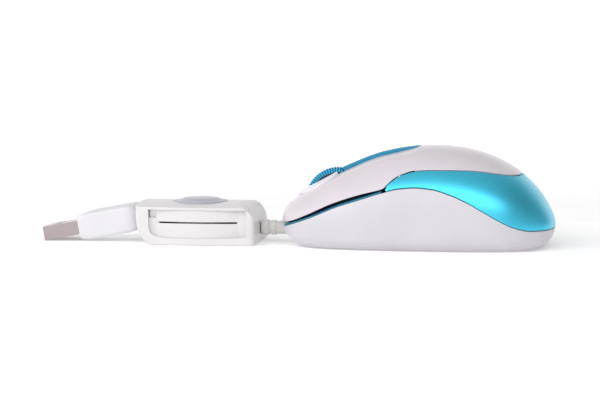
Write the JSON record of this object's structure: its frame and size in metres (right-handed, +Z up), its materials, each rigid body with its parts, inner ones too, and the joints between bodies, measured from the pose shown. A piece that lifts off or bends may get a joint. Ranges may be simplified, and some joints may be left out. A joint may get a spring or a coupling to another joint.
{
  "type": "computer mouse",
  "caption": "Low corded mouse with buttons either side of a ribbed wheel, a wrap-round coloured side band, an in-line cable reel with windows and a pitched USB plug.",
  "frame": {"origin": "on the table under the middle of the mouse body's length and width", "axes": "+X from the nose to the tail, +Z up; the cable, reel and plug lie in line towards -X"},
  "size_m": [0.165, 0.0512, 0.032],
  "materials": {
    "white_shell": "satin white",
    "white_lower": "satin white",
    "blue_paint": "metallic satin paint",
    "blue_dark": "satin",
    "blue_rubber": "matt",
    "axle_steel": "ground",
    "board_green": "solder resist",
    "black_plastic": "matt",
    "clear_lens": "clear",
    "red_lamp": "clear red",
    "can_aluminium": "satin",
    "screw_steel": "zinc",
    "glide_ptfe": "smooth",
    "relief_plastic": "matt white",
    "cable_jacket": "matt white",
    "reel_plastic": "satin white",
    "cap_teal": "satin",
    "spring_steel": "bright",
    "plug_plastic": "satin white",
    "plug_metal": "nickel plated",
    "tongue_plastic": "white",
    "contact_gold": "gold flash",
    "red_wire": "matt"
  },
  "bodies": {
    "mouse_body": {"base_shell": "white_lower", "blue_side_panel": "blue_paint", "wheel_bezel": "white_shell", "top_cover": "white_shell", "centre_strip": "blue_paint", "inner_frame": "blue_dark", "wheel_encoder": "black_plastic", "circuit_board": "board_green", "left_switch": "black_plastic", "right_switch": "black_plastic", "wheel_switch": "can_aluminium", "image_sensor": "black_plastic", "sensor_lens": "clear_lens", "led": "red_lamp", "led_clip": "black_plastic", "capacitor": "can_aluminium", "board_connector": "tongue_plastic", "inner_lead": "red_wire", "case_screw": "screw_steel", "front_glide": "glide_ptfe", "rear_glide_left": "glide_ptfe", "rear_glide_right": "glide_ptfe", "cable_grommet": "relief_plastic", "mouse_cable": "cable_jacket"},
    "left_button": {"left_button": "white_shell"},
    "right_button": {"right_button": "white_shell"},
    "left_plunger": {"left_plunger": "red_lamp"},
    "right_plunger": {"right_plunger": "red_lamp"},
    "wheel_carrier": {"axle_bush": "black_plastic"},
    "scroll_wheel": {"wheel_tyre": "blue_rubber", "wheel_hub": "black_plastic", "wheel_axle": "axle_steel"},
    "wheel_plunger": {"wheel_plunger": "black_plastic"},
    "reel": {"reel_base": "reel_plastic", "reel_lid": "reel_plastic", "reel_cap": "cap_teal", "reel_pin": "axle_steel", "reel_latch": "spring_steel", "clock_spring": "spring_steel", "mouse_lead": "cable_jacket", "plug_lead": "cable_jacket"},
    "reel_spool": {"spool": "reel_plastic", "lower_winding": "cable_jacket", "upper_winding": "cable_jacket"},
    "plug": {"usb_overmould": "plug_plastic", "usb_shell": "plug_metal", "usb_tongue": "tongue_plastic", "usb_contacts": "contact_gold", "plug_cable": "cable_jacket"}
  },
  "joints": [
    {"name": "left_click", "type": "hinge", "parent": "mouse_body", "child": "left_button", "pos_m": [0.0005, -0.012, 0.029], "axis": [0, -1, 0], "range_deg": [0, 0.9], "stiffness_Nm_per_rad": 0.7, "springref_deg": -0.46},
    {"name": "right_click", "type": "hinge", "parent": "mouse_body", "child": "right_button", "pos_m": [0.0005, 0.012, 0.029], "axis": [0, -1, 0], "range_deg": [0, 0.9], "stiffness_Nm_per_rad": 0.7, "springref_deg": -0.46},
    {"name": "left_plunge", "type": "slide", "parent": "mouse_body", "child": "left_plunger", "axis": [0, 0, -1], "range_m": [0, 0.00044]},
    {"name": "right_plunge", "type": "slide", "parent": "mouse_body", "child": "right_plunger", "axis": [0, 0, -1], "range_m": [0, 0.00044]},
    {"name": "wheel_press", "type": "hinge", "parent": "mouse_body", "child": "wheel_carrier", "pos_m": [-0.0256, 0.008, 0.0137], "axis": [1, 0, 0], "range_deg": [0, 1.6], "stiffness_Nm_per_rad": 0.17, "springref_deg": -1.15},
    {"name": "wheel_plunge", "type": "slide", "parent": "mouse_body", "child": "wheel_plunger", "axis": [0, 0, -1], "range_m": [0, 0.00045]},
    {"name": "wheel_scroll", "type": "hinge", "parent": "wheel_carrier", "child": "scroll_wheel", "pos_m": [-0.0256, 0, 0.0137], "axis": [0, 1, 0], "continuous": true},
    {"name": "cable_pull", "type": "slide", "parent": "mouse_body", "child": "reel", "axis": [-1, 0, 0], "range_m": [0, 0.35], "stiffness_N_per_m": 4.3, "springref_m": -0.35},
    {"name": "plug_pull", "type": "slide", "parent": "reel", "child": "plug", "axis": [-1, 0, 0], "range_m": [0, 0.35]},
    {"name": "spool_turn", "type": "hinge", "parent": "reel", "child": "reel_spool", "pos_m": [-0.0705, 0, 0.007], "axis": [0, 0, -1], "range_deg": [0, 1800.5]}
  ],
  "couplings": [
    {"joint": "left_plunge", "follows": "left_click", "m_per_rad": 0.027},
    {"joint": "right_plunge", "follows": "right_click", "m_per_rad": 0.027},
    {"joint": "wheel_plunge", "follows": "wheel_press", "m_per_rad": 0.0153},
    {"joint": "plug_pull", "follows": "cable_pull", "ratio": 1},
    {"joint": "spool_turn", "follows": "cable_pull", "rad_per_m": 89.76}
  ]
}
